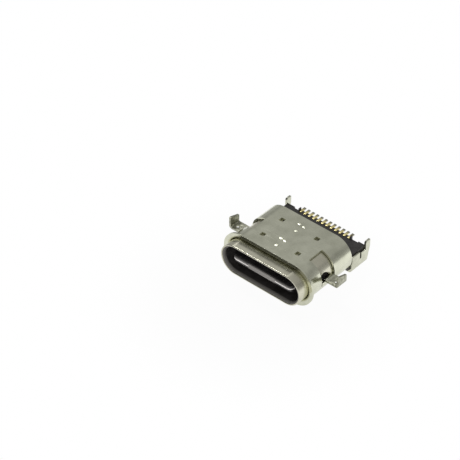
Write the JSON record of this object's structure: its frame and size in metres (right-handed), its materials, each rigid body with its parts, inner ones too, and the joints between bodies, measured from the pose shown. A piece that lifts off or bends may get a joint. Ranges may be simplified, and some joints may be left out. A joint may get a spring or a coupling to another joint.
{
  "type": "usb-c socket",
  "caption": "Mid-mount USB-C receptacle with a flanged metal shell for a sealing ring, board legs at the sides and solder leads at the rear.",
  "frame": {"origin": "centre of the mouth, in the plane of the tube's rim", "axes": "+X across the socket, +Y from the mouth into the socket, +Z towards the circuit board; the smooth face of the shell faces down"},
  "size_m": [0.0124, 0.0095, 0.0042],
  "materials": {
    "shell_steel": "nickel-plated stamped steel, satin",
    "tube_steel": "drawn steel, smooth satin",
    "shield_steel": "plain stamped steel",
    "black_moulding": "moulded, fine texture",
    "tongue_moulding": "moulded, smooth",
    "potting": "cured compound, slightly glossy",
    "gold_contact": "gold-plated copper alloy"
  },
  "bodies": {
    "root": {"outer_shell": "shell_steel", "inner_shell": "tube_steel", "housing": "black_moulding", "tongue": "tongue_moulding", "shield_plate": "shield_steel", "upper_ground_pad": "shield_steel", "lower_ground_pad": "shield_steel", "upper_wafer": "black_moulding", "lower_wafer": "black_moulding", "rear_potting": "potting", "contact_a1": "gold_contact", "contact_a2": "gold_contact", "contact_a3": "gold_contact", "contact_a4": "gold_contact", "contact_a5": "gold_contact", "contact_a6": "gold_contact", "contact_a7": "gold_contact", "contact_a8": "gold_contact", "contact_a9": "gold_contact", "contact_a10": "gold_contact", "contact_a11": "gold_contact", "contact_a12": "gold_contact", "contact_b1": "gold_contact", "contact_b2": "gold_contact", "contact_b3": "gold_contact", "contact_b4": "gold_contact", "contact_b5": "gold_contact", "contact_b6": "gold_contact", "contact_b7": "gold_contact", "contact_b8": "gold_contact", "contact_b9": "gold_contact", "contact_b10": "gold_contact", "contact_b11": "gold_contact", "contact_b12": "gold_contact"}
  },
  "joints": []
}
